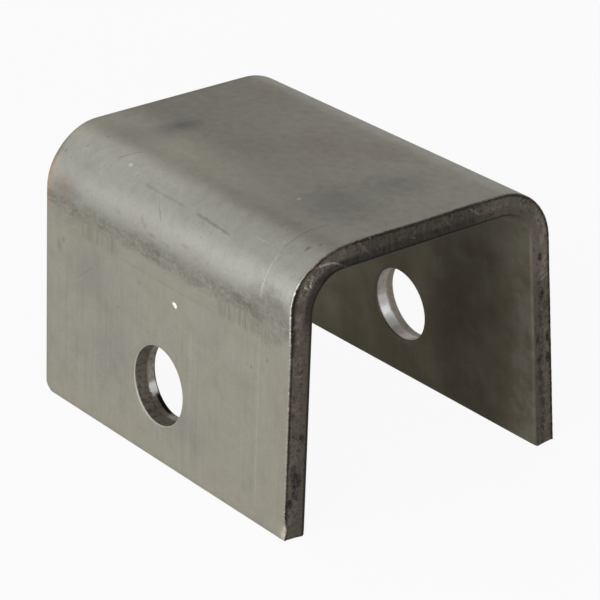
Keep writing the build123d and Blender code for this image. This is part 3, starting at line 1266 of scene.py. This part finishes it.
    def pitted(self, g: FaceGraph, place: Wire, mottle: Wire, lumps: Wire, front: Wire) -> Wire:
        """How dark the pits and stains are.

        Args:
            g: Node tree to build in.
            place: Place round the section and through the plate.
            mottle: Wide patches.
            lumps: Small lumps.
            front: 1 on the front end, where the stains were seen.

        Returns:
            A number from 0 to 1.
        """
        crumbs = g.noise((1.25, 1.25, 1.7), 4.0, 0.7)
        pitted = lumps.smooth(0.52, 0.64) * (1 - mottle).smooth(0.42, 0.54) * 0.7
        pitted = pitted.most(crumbs.smooth(0.57, 0.66) * 0.6)
        seam = abs(g.depth + (mottle - 0.5) * 1.2 - 2.6).smooth(1.0, 0.2)
        pitted = pitted.most(seam * crumbs.smooth(0.46, 0.56) * g.run.smooth(34.0, 44.0) * 0.85)
        stains = g.spots(g.shaken(place, 1.3, (1.6, 0.9), 3.0), self.stains, 0.4)
        return pitted.most(stains * (0.55 + crumbs.smooth(0.35, 0.55) * 0.6) * front).kept()

    def dark_edges(self, g: FaceGraph, lumps: Wire, front: Wire) -> Wire:
        """How dark the lines along the cut face's two edges and the ragged near bend are, from 0 to 1; the
        line by the outer edge is painted shadow under the burr.
        """
        # Painted shadow under the burr, just inside the outer edge.
        painted_burr_shadow = g.depth.smooth(0.12, 0.24) * g.depth.smooth(0.85, 0.4)
        painted_burr_shadow = painted_burr_shadow * (0.5 + lumps.smooth(0.35, 0.6) * 0.5)
        inner_line = g.depth.smooth(3.7, 4.1) * g.run.smooth(28.0, 18.0) * 0.85
        ragged = g.depth.smooth(1.3, 0.4) * abs(g.run + 33.0).smooth(9.0, 4.0) * lumps.smooth(0.3, 0.44)
        return painted_burr_shadow.most(inner_line).most(ragged * front)

    def shine(self, g: FaceGraph, place: Wire, grit: Wire) -> Wire:
        """How bright the scratches, the ridge's painted highlight and the flecks on the torn patch are, from
        0 to 1.
        """
        flecks = grit.smooth(0.55, 0.66) * g.spot(place, self.torn_patch) * 0.9
        return g.strokes(place, self.scratches).most(flecks) * (0.5 + grit.smooth(0.25, 0.6) * 0.5)


@dataclass(frozen=True)
class PunchedWall:
    """Finish of the holes' walls: bright and drawn where the punch burnished them, torn and brown beyond."""

    burnished: tuple[int, int, int] = (222, 214, 204)
    # One torn metal in both holes: darker in the near hole as painted shade, lighter in the far one as
    # painted light.
    torn_in_painted_shade: tuple[int, int, int] = (126, 120, 108)
    torn_in_painted_light: tuple[int, int, int] = (186, 177, 164)
    stain: tuple[int, int, int] = (62, 57, 45)
    bright: tuple[int, int, int] = (208, 203, 193)
    pale: tuple[int, int, int] = (252, 246, 238)
    # Painted highlights where each hole's burnished wall mirrors a lamp.
    painted_highlights: tuple[Spot, ...] = (Spot((64.5, 6.5), (5.2, 5.0)), Spot((-64.6, 6.8), (2.0, 2.6)))
    dark_edge: Spot = Spot((-67.2, 4.6), (3.2, 4.2))
    relief: float = 0.03 * MM

    def material(self) -> bpy.types.Material:
        """Builds the finish."""
        g = FaceGraph("punched_wall")
        lumps = g.noise((1.2, 1.2, 1.2), 3.0, 0.6)
        drawn = g.noise((2.6, 2.6, 0.25), 2.0, 0.6)
        grit = g.noise((5.0, 5.0, 5.0), 2.0, 0.7)
        near = g.run.smooth(1.0, -1.0)
        burnished = (g.depth + (lumps - 0.5) * 1.2 + 0.25 - near * 0.8).smooth(1.9, 2.5)
        torn = g.blend(near, linear(*self.torn_in_painted_light), linear(*self.torn_in_painted_shade))
        colour = g.blend(burnished, torn, linear(*self.burnished))
        stained = lumps.smooth(0.42, 0.66) * (0.25 + near * 0.4) * (1 - burnished * 0.4)
        colour = g.blend(stained, colour, linear(*self.stain))
        # Darker at the near hole's inner end, most on its lower right side.
        colour = g.blend(g.depth.smooth(4.2, 4.5) * near * 0.75, colour, linear(*self.stain))
        # Painted highlight along each hole's burred outer rim.
        colour = g.blend(g.depth.smooth(0.3, 0.05) * 0.8, colour, linear(*self.bright))
        edge = g.spot(g.place, self.dark_edge).smooth(0.0, 0.3) * g.depth.smooth(3.5, 3.8)
        colour = g.blend(edge * 0.9, colour, linear(*self.stain))
        # Painted highlights on the burnished walls.
        pale = g.spots(g.place, self.painted_highlights, 0.6) * burnished
        colour = g.blend(pale, colour, linear(*self.pale))
        # Painted shade darkens the near hole's burnished band; the painted highlights are lifted further and
        # the near hole's lower right edge darkened.
        tone = 1 - near * (1 - pale) * burnished * 0.15 + (drawn - 0.5) * 0.6 * burnished + (grit - 0.5) * 0.3
        colour = g.shade(g.shade(colour, tone), 1 + pale * 0.5 - edge * 0.5)
        rough = (0.55 - burnished * 0.15 + (lumps - 0.5) * 0.15).kept()
        metal = 0.6 + burnished * 0.35
        height = lumps * 0.5 * (1 - burnished) + drawn * 0.4 + grit * 0.2
        return g.finish(colour, rough, metal, height, self.relief)


@dataclass(frozen=True)
class Softbox:
    """Rectangular lamp that looks at the object: its place and size in metres, and its power in watts."""

    name: str
    place: tuple[float, float, float]
    size: tuple[float, float]
    power: float


@dataclass(frozen=True)
class Studio:
    """Camera, lights and floor."""

    eye: tuple[float, float, float] = (-0.31494, -0.42012, 0.21273)
    azimuth: float = math.radians(-36.857)
    elevation: float = math.radians(24.360)
    roll: float = -0.01156
    lens: float = 179.518
    shift: tuple[float, float] = (0.010802, -0.0411)
    floor_height: float = -54.97 * MM
    floor_white: float = 0.93
    floor_mirrored: float = 0.15
    room_light: float = 0.13
    room_white: float = 1.0
    room_mirrored: float = 0.06
    aim: tuple[float, float, float] = (0.0, 0.0, -0.03)
    softboxes: tuple[Softbox, ...] = (
        Softbox("left_softbox", (-1.0, -0.15, 0.26), (2.2, 0.8), 15.0),
        Softbox("front_softbox", (-0.7, -0.9, 0.35), (0.7, 0.7), 1.5),
        Softbox("back_left_softbox", (-0.85, 0.9, 0.42), (0.9, 0.9), 0.85),
        Softbox("back_softbox", (-0.2, 0.95, 0.85), (0.9, 0.9), 1.4),
        Softbox("back_right_softbox", (0.6, 1.0, 0.6), (1.0, 1.0), 0.35),
        Softbox("front_right_softbox", (0.7, -0.85, 0.5), (0.5, 0.5), 0.9),
        Softbox("right_softbox", (1.0, 0.35, 0.2), (1.4, 0.8), 1.4),
    )

    def camera(self) -> None:
        """Places the camera where the photograph was taken from."""
        data = bpy.data.cameras.new("camera")
        data.lens = self.lens
        data.sensor_width = 36.0
        data.shift_x, data.shift_y = self.shift
        data.clip_start, data.clip_end = 0.05, 20.0
        camera = bpy.data.objects.new("camera", data)
        bpy.context.scene.collection.objects.link(camera)
        back = Vector(
            (
                math.sin(self.azimuth) * math.cos(self.elevation),
                -math.cos(self.azimuth) * math.cos(self.elevation),
                math.sin(self.elevation),
            )
        )
        right = (-back).cross(Vector((0, 0, 1))).normalized()
        top = right.cross(-back)
        turned = math.cos(self.roll) * right + math.sin(self.roll) * top
        upright = math.cos(self.roll) * top - math.sin(self.roll) * right
        camera.matrix_world = Matrix(
            (
                (turned.x, upright.x, back.x, self.eye[0]),
                (turned.y, upright.y, back.y, self.eye[1]),
                (turned.z, upright.z, back.z, self.eye[2]),
                (0, 0, 0, 1),
            )
        )
        bpy.context.scene.camera = camera

    def floor(self) -> None:
        """Lays a pale floor under the leg ends."""
        bpy.ops.object.select_all(action="DESELECT")
        bpy.ops.mesh.primitive_plane_add(size=6.0, location=(0, 0, self.floor_height))
        floor = bpy.context.object
        floor.name = "floor"
        bpy.ops.object.transform_apply(location=True)
        material = fresh_material("white_floor")
        graph = Graph(material.node_tree)
        shader = graph.tree.nodes["Principled BSDF"]
        shader.inputs["Base Color"].default_value = (0.8, 0.8, 0.8, 1)
        shader.inputs["Roughness"].default_value = 0.9
        white = graph.node("ShaderNodeEmission", {}, {"Strength": 1.0})
        lit = Wire(graph, shader.outputs["BSDF"])
        graph.backdrop("Material Output", lit, white, self.floor_white, self.floor_mirrored)
        floor.data.materials.append(material)

    def lights(self) -> None:
        """Hangs the soft lights."""
        for softbox in self.softboxes:
            data = bpy.data.lights.new(softbox.name, "AREA")
            data.shape = "RECTANGLE"
            data.size, data.size_y = softbox.size
            data.energy = softbox.power
            lamp = bpy.data.objects.new(softbox.name, data)
            bpy.context.scene.collection.objects.link(lamp)
            lamp.location = softbox.place
            way = Vector(self.aim) - Vector(softbox.place)
            lamp.rotation_euler = way.to_track_quat("-Z", "Y").to_euler()

    def room(self) -> None:
        """Sets the room's own faint light, which the camera sees as white."""
        world = bpy.data.worlds.new("room")
        world.use_nodes = True
        graph = Graph(world.node_tree)
        faint = graph.tree.nodes["Background"]
        faint.inputs["Color"].default_value = (1, 1, 1, 1)
        faint.inputs["Strength"].default_value = self.room_light
        white = graph.node("ShaderNodeBackground", {}, {"Color": (1, 1, 1, 1), "Strength": 1.0})
        lit = Wire(graph, faint.outputs["Background"])
        graph.backdrop("World Output", lit, white, self.room_white, self.room_mirrored)
        bpy.context.scene.world = world


class Patch(Enum):
    """Which finish a face of the plate takes, by its material number."""

    MILL = 0
    CUT = 1
    WALL = 2


def dress(work: bpy.types.Object, plate: FoldedPlate) -> None:
    """Gives each face its finish: rolled, sheared or punched.

    Args:
        work: The finished mesh.
        plate: The sizes it was made to.
    """
    for finish in (MillFace(), CutFace(), PunchedWall()):
        work.data.materials.append(finish.material())
    rows = blank_rows(work)
    part = plate.section
    half = part.length / 2 / MM - CUT_MARGIN
    foot = part.foot / MM - CUT_MARGIN
    inmost = (part.plate - plate.shear_rollover * ROLLED_SHARE) / MM
    for face in work.data.polygons:
        run, along, depth = rows[list(face.vertices)].mean(axis=0)
        if not SKIN_DEPTH < depth < inmost:
            continue
        if plate.by_hole(np.array([face.center]), plate.wall_reach)[0]:
            face.material_index = Patch.WALL.value
        elif abs(along) > half or abs(run) > foot:
            face.material_index = Patch.CUT.value


def finish_work(work: bpy.types.Object) -> None:
    """Smooths the shading and ties the piece to the frame."""
    bpy.ops.object.select_all(action="DESELECT")
    work.select_set(True)
    bpy.context.view_layer.objects.active = work
    bpy.ops.object.shade_smooth_by_angle(angle=math.radians(35))
    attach(work, "root")
    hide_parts("hanger")


def main() -> None:
    """Builds the hanger and its setting."""
    logging.basicConfig(level=logging.INFO, format="%(name)s: %(message)s")
    bpy.context.scene.view_settings.view_transform = "Standard"
    studio = Studio()
    studio.camera()
    studio.floor()
    studio.lights()
    studio.room()
    plate = FoldedPlate(Section())
    work = plate.build()
    wear = Wear(work)
    for marks in (CutEnds(), BendTear(), FaceMarks()):
        marks.shape(wear)
    dress(work, plate)
    finish_work(work)
    work.data.calc_loop_triangles()
    LOG.info("%s has %d triangles", work.name, len(work.data.loop_triangles))


if __name__ == "__main__":
    main()
